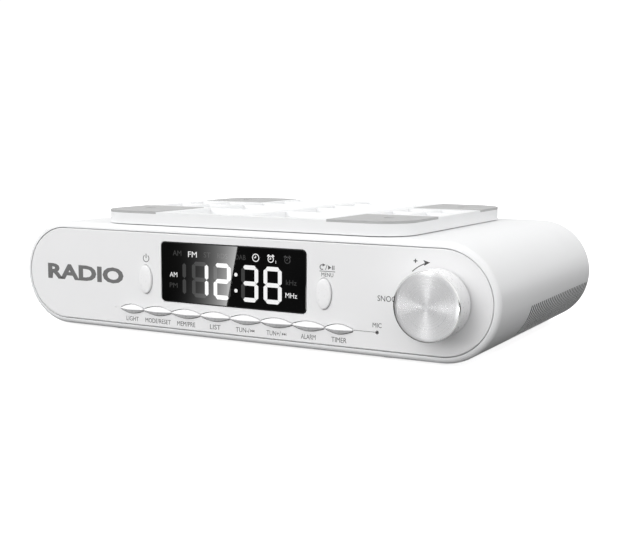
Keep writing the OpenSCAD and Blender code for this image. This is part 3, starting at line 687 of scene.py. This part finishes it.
def make_knob():
    low, high = local_box("knob_body")
    cap_low, cap_high = local_box("knob_cap")
    centre = middle("knob_body")
    at = (centre.x, 0, centre.z)
    radius = (high.x - low.x) / 2
    skirt = lathe("knob_skirt", knob_skirt_profile(radius, low.y), KNOB_SIDES)
    finish_mesh("knob_skirt", skirt, [KEY_WHITE], "knob", at, ("knob_body",))
    first_edge = len(CAP_STEPS) + 1
    face = lathe("knob_face", knob_cap_profile(radius, cap_low.y, cap_high.y), KNOB_SIDES,
                 (first_edge, first_edge + 2))
    finish_mesh("knob_face", face, [LOOKS["spun_aluminium"], BRIGHT_EDGE], "knob",
                at, ("knob_cap",))


make_knob()


# ---- Display window ----

WINDOW_R = 2.5
# (inset, depth) of the flat face's border, its soft edge and the top of its side
WINDOW_EDGE = ((0.5, 0), (0.35, 0), (0.1, 0.1), (0, 0.35))


def make_window():
    low, high = local_box("display_window")
    centre = middle("display_window")
    width, height = high.x - low.x, high.z - low.z

    def ring(inset, y):
        outline = rounded_rectangle(width - 2 * inset, height - 2 * inset, WINDOW_R - inset)
        return [(x, y, z) for x, z in outline]

    rings = [ring(inset, low.y + depth) for inset, depth in WINDOW_EDGE] + [ring(0, high.y)]
    finish_mesh("window_pane", rings_mesh("window_pane", rings), [LOOKS["window_black"]], "root",
                (centre.x, 0, centre.z), ("display_window",))
    return low.y


WINDOW_Y = make_window()


# ---- Marks: flat shapes joined into one thin piece ----

# Letters are drawn at this size first, and then scaled to their height
LETTER_SIZE = 10
DISC_SIDES = 20
RING_STEPS = 28


class Marks:
    """Collects flat shapes in (x, z) and turns them into one thin piece at a depth."""

    def __init__(self, y, thick):
        self.y = y
        self.thick = thick
        self.points = []
        self.faces = []

    def prism(self, outline):
        """A flat shape with straight sides."""
        start, count = len(self.points), len(outline)
        for y in (self.y - self.thick, self.y):
            self.points += [(x, y, z) for x, z in outline]
        self.faces.append(tuple(range(start, start + count)))
        self.faces.append(tuple(range(start + count, start + 2 * count)))
        for j in range(count):
            k = (j + 1) % count
            self.faces.append((start + j, start + k, start + count + k, start + count + j))

    def stroke(self, route, width):
        """A line of even width along a route."""
        left, right = [], []
        for i, (x, z) in enumerate(route):
            ax, az = route[max(i - 1, 0)]
            bx, bz = route[min(i + 1, len(route) - 1)]
            length = math.hypot(bx - ax, bz - az)
            nx, nz = -(bz - az) / length * width / 2, (bx - ax) / length * width / 2
            left.append((x + nx, z + nz))
            right.append((x - nx, z - nz))
        for i in range(len(route) - 1):
            self.prism([left[i], left[i + 1], right[i + 1], right[i]])

    def disc(self, x, z, radius):
        last = DISC_SIDES - 1
        self.prism(arc((x, z), radius, 0, 360 * last / DISC_SIDES, last))

    def ring(self, x, z, radius, width, start=0, end=360):
        self.stroke(arc((x, z), radius, start, end, RING_STEPS), width)

    def words(self, text, x, z, height, width=None, bold=0.0, align="CENTER"):
        """Capital letters of a height, centred on (x, z) or starting at x."""
        curve = bpy.data.curves.new("words", "FONT")
        curve.body = text
        curve.size = LETTER_SIZE
        curve.resolution_u = 3
        curve.offset = bold
        holder = bpy.data.objects.new("words", curve)
        bpy.context.scene.collection.objects.link(holder)
        bpy.context.view_layer.update()
        graph = bpy.context.evaluated_depsgraph_get()
        flat = bpy.data.meshes.new_from_object(holder.evaluated_get(graph))
        xs = [v.co.x for v in flat.vertices]
        ys = [v.co.y for v in flat.vertices]
        tall = height / (max(ys) - min(ys))
        wide = tall if width is None else width / (max(xs) - min(xs))
        span = (max(xs) - min(xs)) * wide
        left = x - span / 2 if align == "CENTER" else x
        work = bmesh.new()
        work.from_mesh(flat)
        bmesh.ops.remove_doubles(work, verts=work.verts, dist=SAME_POINT)
        grown = bmesh.ops.extrude_face_region(work, geom=list(work.faces))
        for v in grown["geom"]:
            if isinstance(v, bmesh.types.BMVert):
                v.co.z = 1
        start = len(self.points)
        work.verts.ensure_lookup_table()
        work.verts.index_update()
        for v in work.verts:
            across = left + (v.co.x - min(xs)) * wide
            depth = self.y - self.thick if v.co.z > 0.5 else self.y
            up = z - height / 2 + (v.co.y - min(ys)) * tall
            self.points.append((across, depth, up))
        for f in work.faces:
            self.faces.append(tuple(start + v.index for v in f.verts))
        work.free()
        bpy.data.objects.remove(holder)
        bpy.data.curves.remove(curve)
        bpy.data.meshes.remove(flat)

    def piece(self, name, look, slot):
        finish_mesh(name, mesh_from(name, self.points, self.faces), [look], "root")


# ---- What the display shows ----

MARK_T = 0.02
# Heights of the digits' top, middle and lower bars, a bar's width and the cut at its ends
DIGIT_TOP, DIGIT_MID, DIGIT_LOW = 11.6, 2.1, -7.6
SEGMENT_W = 2.25
SEGMENT_CUT = 0.16


def segment(x0, z0, x1, z1):
    """One bar of a digit: a long lozenge with cut ends."""
    length = math.hypot(x1 - x0, z1 - z0)
    ux, uz = (x1 - x0) / length, (z1 - z0) / length
    half = SEGMENT_W / 2
    outline = []
    for along, across in ((SEGMENT_CUT, 0), (half, half), (length - half, half),
                          (length - SEGMENT_CUT, 0), (length - half, -half), (half, -half)):
        outline.append((x0 + ux * along - uz * across, z0 + uz * along + ux * across))
    return outline


def digit_segments(left, right):
    """The seven bars of a digit by their usual letters."""
    half = SEGMENT_W / 2
    l, r = left + half, right - half
    top, mid, low = DIGIT_TOP - half, DIGIT_MID, DIGIT_LOW + half
    ends = {"a": (l, top, r, top), "b": (r, mid, r, top), "c": (r, low, r, mid),
            "d": (l, low, r, low), "e": (l, low, l, mid), "f": (l, mid, l, top),
            "g": (l, mid, r, mid)}
    return {letter: segment(*points) for letter, points in ends.items()}


def clock_icon(marks, x, z, radius, ears=False):
    """A clock face with its hands, and with the two bells of an alarm clock."""
    marks.ring(x, z, radius, 0.45)
    marks.stroke([(x, z + radius * 0.55), (x, z), (x - radius * 0.5, z)], 0.5)
    if ears:
        for side in (-1, 1):
            marks.ring(x, z, radius + 0.75, 0.7, 90 - side * 55, 90 - side * 22)


# Left and right edge of each digit, and its lit bars
DIGITS = ((-27.0, -16.5, "bc"), (-13.2, -2.5, "abged"),
          (4.0, 14.4, "abgcd"), (17.6, 28.4, "abcdefg"))
# The unlit digit before them can only show a 1
FIRST_DIGIT = (-40.0, -30.9)
COLON_X, COLON_R = 0.75, 1.0
COLON_Z = (6.2, -2.2)
# Words of the display: text, x, z, height and width
LIT_WORDS = (("FM", -26.6, 15.3, 3.0, 5.6), ("AM", -39.1, 3.8, 2.6, 5.0),
             ("MHz", 34.0, -2.4, 2.6, 6.8))
DIM_WORDS = (("AM", -36.6, 15.5, 2.8, 5.6), ("PM", -39.1, -2.0, 2.6, 5.2),
             ("ST", -17.2, 15.5, 2.8, 4.4), ("RDS", -7.6, 15.5, 2.6, 6.4),
             ("DAB", 3.6, 15.5, 2.6, 6.4), ("kHz", 34.0, 4.2, 2.6, 6.2))
ALARM_R = 1.6


def make_display():
    lit = Marks(WINDOW_Y, MARK_T)
    dim = Marks(WINDOW_Y, MARK_T)
    for left, right, on in DIGITS:
        for letter, outline in digit_segments(left, right).items():
            (lit if letter in on else dim).prism(outline)
    first = digit_segments(*FIRST_DIGIT)
    for letter in "bc":
        dim.prism(first[letter])
    for z in COLON_Z:
        lit.disc(COLON_X, z, COLON_R)
    for word in LIT_WORDS:
        lit.words(*word)
    clock_icon(lit, 12.9, 15.75, 1.9)
    clock_icon(lit, 21.9, 15.5, ALARM_R, True)
    lit.words("1", 24.9, 14.2, 1.6)
    for word in DIM_WORDS:
        dim.words(*word)
    clock_icon(dim, 31.7, 15.5, ALARM_R, True)
    lit.piece("display_lit_marks", LIT, "lcd_grey")
    dim.piece("display_dim_marks", GHOST, "lcd_grey")


make_display()


# ---- Print on the panel ----

PRINT_T = 0.03
ICON_LINE = 0.42
FINE_LINE = 0.3
# The keys' labels: how far below the keys, how tall, and a letter's pitch and gap
LABEL_BELOW, LABEL_H = 5.5, 2.5
LETTER_PITCH, LETTER_GAP = 1.72, 0.2
# The tuning keys' words move left, to leave room for their arrowheads
TUNING_LEFT = 1.6
KEY_WORDS = {"key_light": "LIGHT", "key_mode": "MODE/RESET", "key_preset": "MEM/PRE",
             "key_list": "LIST", "key_tune_down": "TUN-/", "key_tune_up": "TUN+/",
             "key_alarm": "ALARM", "key_timer": "TIMER"}
# Where the arrowheads start from a key's middle, and which way they point
SKIP_ICONS = {"key_tune_down": (5.6, -1), "key_tune_up": (3.4, 1)}
# The curved arrow over the knob, and the plus beside it
ARROW_FROM = (100.4, 14.1)
ARROW_HEAD = ((105.9, 19.9), (109.4, 18.9), (106.3, 17.2), (106.7, 18.6))
ARROW_ARC = (133.5, 107)
PLUS_AT, PLUS_REACH = (101.9, 19.3), 1.0


def power_icon(marks, x, z, radius):
    marks.ring(x, z, radius, ICON_LINE, 125, 415)
    marks.stroke([(x, z + 0.1), (x, z + radius * 1.35)], 0.5)


def play_icon(marks, x, z):
    marks.prism([(x, z - 1.1), (x, z + 1.1), (x + 1.8, z)])
    for step in (2.5, 3.3):
        marks.stroke([(x + step, z - 1.1), (x + step, z + 1.1)], ICON_LINE)


def back_arrow(marks, x, z):
    marks.ring(x, z, 1.15, ICON_LINE, 60, 300)
    marks.prism([(x + 0.3, z + 1.9), (x + 1.9, z + 1.2), (x + 0.4, z + 0.3)])


def skip_icon(marks, x, z, way):
    """Two small arrowheads and a bar, pointing left or right."""
    for step in (0, 1.1):
        tip, tail = x + way * (step + 1.1), x + way * step
        marks.prism([(tail, z - 0.7), (tail, z + 0.7), (tip, z)][::way])
    marks.stroke([(x + way * 2.4, z - 0.7), (x + way * 2.4, z + 0.7)], FINE_LINE)


def print_key_labels(labels):
    z = middle("key_list").z - LABEL_BELOW
    for key_node, text in KEY_WORDS.items():
        x = middle(key_node).x
        left = TUNING_LEFT if key_node in SKIP_ICONS else 0
        labels.words(text, x - left, z, LABEL_H, len(text) * LETTER_PITCH - LETTER_GAP)
        if key_node in SKIP_ICONS:
            start, way = SKIP_ICONS[key_node]
            skip_icon(labels, x + start, z, way)


def print_select_label(labels):
    """A back arrow, a slash and a play sign over a line, with a word below it."""
    x = middle("select_button").x
    back_arrow(labels, x - 1.2, 13.3)
    labels.stroke([(x + 0.7, 12.0), (x + 1.7, 14.6)], FINE_LINE)
    play_icon(labels, x + 2.2, 13.3)
    labels.stroke([(x - 2.6, 11.3), (x + 6.2, 11.3)], FINE_LINE)
    labels.words("MENU", x + 1.8, 9.6, 2.0, 6.6)


def print_mic(labels):
    """The word over the microphone's hole, a ring round it and the line that leads to it."""
    mic = middle("mic_capsule")
    labels.words("MIC", mic.x, mic.z + 3.5, 2.3, 4.8)
    labels.ring(mic.x, mic.z, 0.78, FINE_LINE)
    key_end, z = local_box("key_timer")[1].x, middle("key_timer").z + 0.2
    labels.stroke([(key_end + 0.3, z), (mic.x - 1.2, z)], 0.14)


def print_knob_marks(labels):
    knob = middle("knob_body")
    labels.words("SNOOZE", 82.3, 0, 2.8, 14.4, align="LEFT")
    x, z = PLUS_AT
    labels.stroke([(x - PLUS_REACH, z), (x + PLUS_REACH, z)], 0.5)
    labels.stroke([(x, z - PLUS_REACH), (x, z + PLUS_REACH)], 0.5)
    reach = math.hypot(ARROW_FROM[0] - knob.x, ARROW_FROM[1] - knob.z)
    labels.ring(knob.x, knob.z, reach + 0.1, 0.45, *ARROW_ARC)
    labels.prism(ARROW_HEAD)


def make_print():
    labels = Marks(0, PRINT_T)
    print_key_labels(labels)
    power_icon(labels, middle("power_button").x + 0.25, 11.5, 1.9)
    print_select_label(labels)
    print_mic(labels)
    print_knob_marks(labels)
    labels.piece("panel_labels", LABEL_GREY, "panel_white")
    mark = Marks(0, PRINT_T)
    mark.words("RADIO", -100.6, 0.6, 9.0, 55, 0.42)
    mark.piece("panel_wordmark", WORDMARK_GREY, "panel_white")


make_print()


# ---- Screws ----

SCREW_SIDES = 96
SCREW_R = 1.5
SCREW_HEAD_R = 2.9
SCREW_HEAD_H = 1.6
# The pan heads' rounded edge, and the countersunk heads' height and bevel
PAN_EDGE_R = 0.7
SUNK_H = 1.5
SUNK_BEVEL = 0.12
REAR_SHANK_L = 8.9
COVER_SHANK_L = 11
COVER_SCREWS = [(x, y) for x in (-91, 91) for y in (28, 132)]
# The cross recess: reach and half width of its arms at the top, at its bevel and at its floor
CROSS_TOP, CROSS_BEVEL, CROSS_FLOOR = (1.7, 0.42), (1.6, 0.36), (0.9, 0.3)
CROSS_BEVEL_H = 0.12
PAN_CROSS_DEPTH, SUNK_CROSS_DEPTH = 1.1, 1.0


def cross_outline(reach, half_width):
    """Radius of a cross at each angle."""
    made = []
    for j in range(SCREW_SIDES):
        turn = 2 * math.pi * j / SCREW_SIDES
        off = (turn + math.pi / 4) % (math.pi / 2) - math.pi / 4
        made.append(min(reach / math.cos(off), half_width / max(abs(math.sin(off)), 1e-3)))
    return made


def screw_rings(profile, top, depth):
    """Rings of a screw from its tip to the floor of its cross recess, as (radii, height)."""
    rings = [([r] * SCREW_SIDES, h) for r, h in profile]
    rings.append((cross_outline(*CROSS_TOP), top))
    rings.append((cross_outline(*CROSS_BEVEL), top - CROSS_BEVEL_H))
    rings.append((cross_outline(*CROSS_FLOOR), top - depth))
    return rings


def make_case_screws():
    """Pan-head screws in the rear panel and countersunk ones in the bottom cover."""
    low, high = local_box("case_screws")
    rear_x, rear_z = high.x - SCREW_HEAD_R, high.z - SCREW_HEAD_R
    seat = high.y - SCREW_HEAD_H
    points, faces = [], []

    def add(rings, put):
        start = len(points)
        for radii, height in rings:
            for j, radius in enumerate(radii):
                turn = 2 * math.pi * j / SCREW_SIDES
                points.append(put(radius * math.cos(turn), radius * math.sin(turn), height))
        for i in range(len(rings) - 1):
            for j in range(SCREW_SIDES):
                k = (j + 1) % SCREW_SIDES
                row, above = start + i * SCREW_SIDES, start + (i + 1) * SCREW_SIDES
                faces.append((row + j, row + k, above + k, above + j))
        last = start + (len(rings) - 1) * SCREW_SIDES
        faces.append(tuple(start + j for j in range(SCREW_SIDES)))
        faces.append(tuple(last + j for j in range(SCREW_SIDES)))

    edge = arc((SCREW_HEAD_R - PAN_EDGE_R, SCREW_HEAD_H - PAN_EDGE_R), PAN_EDGE_R, 0, 90, 6)
    pan = [(SCREW_R, -REAR_SHANK_L), (SCREW_R, 0), (SCREW_HEAD_R, 0)] + edge
    pan_rings = screw_rings(pan, SCREW_HEAD_H, PAN_CROSS_DEPTH)
    for x in (-rear_x, rear_x):
        for z in (-rear_z, rear_z):
            add(pan_rings, lambda u, v, h, x=x, z=z: (x + u, seat + h, z + v))
    sunk = [(SCREW_R, -COVER_SHANK_L), (SCREW_R, 0),
            (SCREW_HEAD_R - 0.08, SUNK_H - SUNK_BEVEL), (SCREW_HEAD_R - 0.14, SUNK_H)]
    sunk_rings = screw_rings(sunk, SUNK_H, SUNK_CROSS_DEPTH)
    for x, y in COVER_SCREWS:
        add(sunk_rings, lambda u, v, h, x=x, y=y: (x + u, y - v, low.z + SUNK_H - h))
    mesh = mesh_from("case_screw_set", points, faces)
    finish_mesh("case_screw_set", mesh, [LOOKS["steel"]], "root", replaces=("case_screws",))


make_case_screws()


# ---- Stage and light ----

STAGE_REACH = 8
# How far the floor lies below the feet
FLOOR_DROP = 0.02 * MM
FLOOR_GLOW = 0.8
BACKDROP_GLOW = 1.05
# The world's strength above the horizon and its change towards the right
SKY = 0.95
SKY_TO_RIGHT = 0.27
HORIZON_BLUR = 0.02
# What is left below the horizon, and what the ground in front gives back
GROUND = 0.02
FRONT_GROUND = 0.55
# Directions between which the ground in front grows from none to all, along Y and Z
FRONT_NONE, FRONT_ALL = (-0.42, -0.18), (-0.8, -0.3)
# The key light: where it comes from, its distance, size and power
KEY_FROM = (-0.4, -0.85, 0.55)
KEY_AWAY, KEY_SIZE, KEY_POWER = 1.9, (1.6, 1.8), 20.5
# The part of the window that shows the glare, how much further off its card stands, how
# bright it is and how fast it fades to the left
GLARE_OUTLINE = ((-52, -14), (-5.9, -14), (2.7, 25), (-52, 25))
GLARE_REACH, GLARE_STRENGTH, GLARE_FADE = 3.0, 8.2, 4.2


def hide_from(thing, *rays):
    for ray in rays:
        setattr(thing, "visible_" + ray, False)


def softbox(name, direction, distance, size, power):
    """An area light that looks at the radio from a direction."""
    data = bpy.data.lights.new(name, "AREA")
    data.shape = "RECTANGLE"
    data.size, data.size_y = size
    data.energy = power
    light = bpy.data.objects.new(name, data)
    towards = Vector(direction).normalized()
    light.location = towards * distance
    hide_from(light, "glossy")
    light.rotation_mode = "QUATERNION"
    light.rotation_quaternion = (-towards).to_track_quat("-Z", "Y")
    bpy.context.scene.collection.objects.link(light)


def glow_look(name, strength):
    look = Look(name)
    look.set(Base_Color=(0, 0, 0, 1), Roughness=1, Emission_Strength=strength)
    look.set(Emission_Color=(1, 1, 1, 1))
    return look


def make_floor():
    """A white floor that shows from above only, and that only the camera sees glow."""
    mesh = bpy.data.meshes.new("floor")
    corners = [(x * STAGE_REACH, y * STAGE_REACH, 0) for x, y in ((-1, -1), (1, -1), (1, 1), (-1, 1))]
    mesh.from_pydata(corners, [], [(0, 1, 2, 3)])
    floor = bpy.data.objects.new("floor", mesh)
    floor.location.z = -FLOOR_DROP
    bpy.context.scene.collection.objects.link(floor)
    look = Look("floor")
    look.set(Emission_Color=(1, 1, 1, 1), Emission_Strength=FLOOR_GLOW)
    look.colour(look.noise(0.002, 3), grey(0.8), grey(0.84))
    look.rough(look.noise(0.01, 3), 0.85, 0.95)
    output = look.tree.nodes["Material Output"]
    side = look.node("ShaderNodeNewGeometry")
    clear = look.node("ShaderNodeBsdfTransparent")
    pick = look.node("ShaderNodeMixShader")
    look.link(side.outputs["Backfacing"], pick.inputs["Fac"])
    look.link(look.shader.outputs["BSDF"], pick.inputs[1])
    look.link(clear.outputs["BSDF"], pick.inputs[2])
    look.link(pick.outputs["Shader"], output.inputs["Surface"])
    mesh.materials.append(look.material)
    hide_from(floor, "diffuse", "glossy", "transmission")


def make_backdrop():
    """A white sphere round everything, for the camera only."""
    mesh = bpy.data.meshes.new("backdrop")
    work = bmesh.new()
    bmesh.ops.create_uvsphere(work, u_segments=48, v_segments=24, radius=STAGE_REACH)
    work.to_mesh(mesh)
    work.free()
    backdrop = bpy.data.objects.new("backdrop", mesh)
    bpy.context.scene.collection.objects.link(backdrop)
    mesh.materials.append(glow_look("backdrop", BACKDROP_GLOW).material)
    hide_from(backdrop, "diffuse", "glossy", "transmission", "shadow")


def make_world():
    """Light from above the horizon, so that the sides darken downwards. Below it, only the
    ground in front of the radio gives light back, low enough to stay out of the window."""
    world = bpy.data.worlds.new("studio")
    bpy.context.scene.world = world
    world.use_nodes = True
    tree = world.node_tree
    back = tree.nodes["Background"]
    coordinates = tree.nodes.new("ShaderNodeTexCoord")
    split = tree.nodes.new("ShaderNodeSeparateXYZ")
    tree.links.new(coordinates.outputs["Generated"], split.inputs["Vector"])
    across, along, up = (split.outputs[axis] for axis in "XYZ")
    sky = map_range(tree, across, -1, 1, SKY - SKY_TO_RIGHT, SKY + SKY_TO_RIGHT)
    level = map_range(tree, up, -HORIZON_BLUR, HORIZON_BLUR, GROUND, SKY)
    tree.links.new(sky.outputs["Result"], level.inputs["To Max"])
    ahead = map_range(tree, along, FRONT_ALL[0], FRONT_NONE[0], FRONT_GROUND, 0)
    below = map_range(tree, up, FRONT_ALL[1], FRONT_NONE[1], 1, 0)
    total = tree.nodes.new("ShaderNodeMath")
    total.operation = "MULTIPLY_ADD"
    for i, source in enumerate((ahead, below, level)):
        tree.links.new(source.outputs["Result"], total.inputs[i])
    tree.links.new(total.outputs["Value"], back.inputs["Strength"])
    back.inputs["Color"].default_value = (1, 1, 1, 1)


def card(name, corners, strength, fade=None):
    """A glowing sheet that only reflections see. With fade, it darkens along its first edge."""
    mesh = bpy.data.meshes.new(name)
    mesh.from_pydata(corners, [], [(0, 1, 2, 3)])
    layer = mesh.uv_layers.new(name="along")
    for loop, uv in zip(layer.data, ((0, 0), (1, 0), (1, 1), (0, 1))):
        loop.uv = uv
    sheet = bpy.data.objects.new(name, mesh)
    bpy.context.scene.collection.objects.link(sheet)
    look = glow_look(name, strength)
    if fade:
        source = look.node("ShaderNodeTexCoord")
        split = look.node("ShaderNodeSeparateXYZ")
        look.link(source.outputs["UV"], split.inputs["Vector"])
        curve = look.node("ShaderNodeMath", operation="POWER")
        look.link(split.outputs["X"], curve.inputs[0])
        curve.inputs[1].default_value = fade
        scale = look.node("ShaderNodeMath", operation="MULTIPLY")
        look.link(curve.outputs["Value"], scale.inputs[0])
        scale.inputs[1].default_value = strength
        look.link(scale.outputs["Value"], look.shader.inputs["Emission Strength"])
    mesh.materials.append(look.material)
    hide_from(sheet, "camera", "diffuse", "transmission", "shadow")


def glare_card():
    """The slanted glare on the left half of the display window."""
    window_y = place(0, WINDOW_Y, 0).y
    mirror = Vector((CAMERA_AT[0], 2 * window_y - CAMERA_AT[1], CAMERA_AT[2]))
    corners = [mirror + (place(x, WINDOW_Y, z) - mirror) * GLARE_REACH for x, z in GLARE_OUTLINE]
    card("glare_card", corners, GLARE_STRENGTH, GLARE_FADE)


def knob_card(name, azimuths, elevations, distance, strength):
    """A card for the knob's turned face, between two azimuths (0 is -Y, positive to +X)
    and two elevations, in degrees as seen from the knob."""
    centre = place(*middle("knob_cap"))
    straight = math.radians(sum(azimuths) / 2)
    corners = []
    for i, j in ((0, 0), (1, 0), (1, 1), (0, 1)):
        turn, lift = math.radians(azimuths[i]), math.radians(elevations[j])
        flat = distance / math.cos(straight - turn)
        towards = Vector((math.sin(turn), -math.cos(turn), math.tan(lift)))
        corners.append(centre + flat * towards)
    card(name, corners, strength)


make_floor()
make_backdrop()
make_world()
glare_card()
knob_card("knob_card_base", (-27, 8), (-24, -1), 1.6, 0.82)
knob_card("knob_card_across", (-15, 8), (-10.2, -7.6), 1.5, 9)
softbox("key_softbox", KEY_FROM, KEY_AWAY, KEY_SIZE, KEY_POWER)
knob_card("softbox_card", (-25.5, -20), (8, 40), 1.7, 6)
bpy.context.scene.view_settings.view_transform = "Standard"
